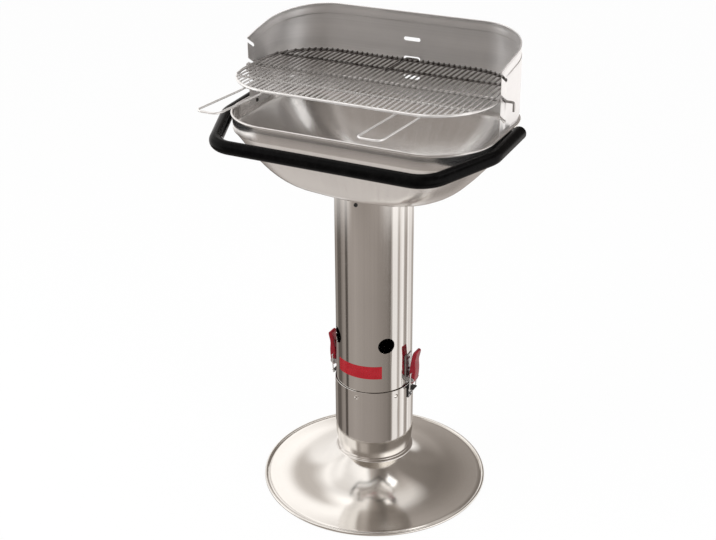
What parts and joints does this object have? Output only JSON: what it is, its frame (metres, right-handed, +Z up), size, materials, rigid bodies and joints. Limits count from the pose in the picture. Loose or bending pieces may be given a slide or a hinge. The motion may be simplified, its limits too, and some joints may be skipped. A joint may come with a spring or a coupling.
{
  "type": "charcoal barbecue",
  "caption": "Charcoal barbecue with an oblong bowl on a round column and dish foot, curved windshield, front rail and lift-out cooking grate.",
  "frame": {"origin": "middle of the footprint, on the floor; the column's axis stands 35.6 mm behind it", "axes": "+Z up along the column, -Y towards the user and the front rail, +X along the bowl's length to the right"},
  "size_m": [0.6041, 0.5611, 1.006],
  "materials": {
    "polished_steel": "polished stainless steel, fine vertical grain",
    "column_steel": "brushed stainless steel",
    "chromed_wire": "bright chromed wire",
    "black_enamel": "gloss black enamel",
    "black_plastic": "black, satin",
    "red_plastic": "gloss red moulding",
    "zinc_steel": "zinc plated steel"
  },
  "bodies": {
    "stand": {"ash_pot": "polished_steel", "base_bolt": "zinc_steel", "base_dish": "polished_steel", "base_nut": "zinc_steel", "base_washer": "zinc_steel", "bowl": "polished_steel", "bowl_collar": "zinc_steel", "catch_rivet_left_1": "zinc_steel", "catch_rivet_left_2": "zinc_steel", "catch_rivet_right_1": "zinc_steel", "catch_rivet_right_2": "zinc_steel", "collar_rivet_1": "zinc_steel", "collar_rivet_2": "zinc_steel", "collar_rivet_3": "zinc_steel", "collar_rivet_4": "zinc_steel", "collar_screw_1": "black_plastic", "collar_screw_2": "black_plastic", "collar_screw_3": "black_plastic", "collar_screw_4": "black_plastic", "column_tube": "column_steel", "latch_catch_left": "black_plastic", "latch_catch_right": "black_plastic", "latch_pin_left": "zinc_steel", "latch_pin_right": "zinc_steel", "latch_plate_left": "zinc_steel", "latch_plate_right": "zinc_steel", "latch_rivet_left_1": "zinc_steel", "latch_rivet_left_2": "zinc_steel", "latch_rivet_right_1": "zinc_steel", "latch_rivet_right_2": "zinc_steel", "rail": "black_enamel", "rail_nut_left": "zinc_steel", "rail_nut_right": "zinc_steel", "rail_plug_left": "black_plastic", "rail_plug_right": "black_plastic", "rail_screw_1": "black_plastic", "rail_screw_2": "black_plastic", "windshield": "column_steel"},
    "cooking_grate_body": {"cooking_grate": "chromed_wire", "grate_back_tab": "chromed_wire", "grate_carrier_wire": "chromed_wire", "grate_handle_left": "chromed_wire", "grate_handle_right": "chromed_wire", "grate_stay_back": "chromed_wire", "grate_stay_front": "chromed_wire"},
    "charcoal_grate_body": {"charcoal_grate": "zinc_steel"},
    "lever_left": {"latch_lever_left": "red_plastic"},
    "lever_right": {"latch_lever_right": "red_plastic"},
    "bail_left": {"latch_bail_left": "chromed_wire"},
    "bail_right": {"latch_bail_right": "chromed_wire"}
  },
  "joints": [
    {"name": "cooking_grate_slide", "type": "slide", "parent": "stand", "child": "cooking_grate_body", "axis": [0, -0.829, 0.5592], "range_m": [0, 0.12]},
    {"name": "charcoal_grate_lift", "type": "slide", "parent": "stand", "child": "charcoal_grate_body", "axis": [0, 0, 1], "range_m": [0, 0.12]},
    {"name": "lever_left_hinge", "type": "hinge", "parent": "stand", "child": "lever_left", "pos_m": [-0.0945, 0.0356, 0.264], "axis": [0, -1, 0], "range_deg": [0, 120]},
    {"name": "lever_right_hinge", "type": "hinge", "parent": "stand", "child": "lever_right", "pos_m": [0.0945, 0.0356, 0.264], "axis": [0, 1, 0], "range_deg": [0, 120]},
    {"name": "bail_left_hinge", "type": "hinge", "parent": "lever_left", "child": "bail_left", "pos_m": [-0.094, 0.0356, 0.28], "axis": [0, -1, 0], "range_deg": [-112.8, 0]},
    {"name": "bail_right_hinge", "type": "hinge", "parent": "lever_right", "child": "bail_right", "pos_m": [0.094, 0.0356, 0.28], "axis": [0, 1, 0], "range_deg": [-112.8, 0]}
  ],
  "couplings": [
    {"joint": "bail_left_hinge", "follows": "lever_left_hinge", "ratio": -0.94},
    {"joint": "bail_right_hinge", "follows": "lever_right_hinge", "ratio": -0.94}
  ]
}
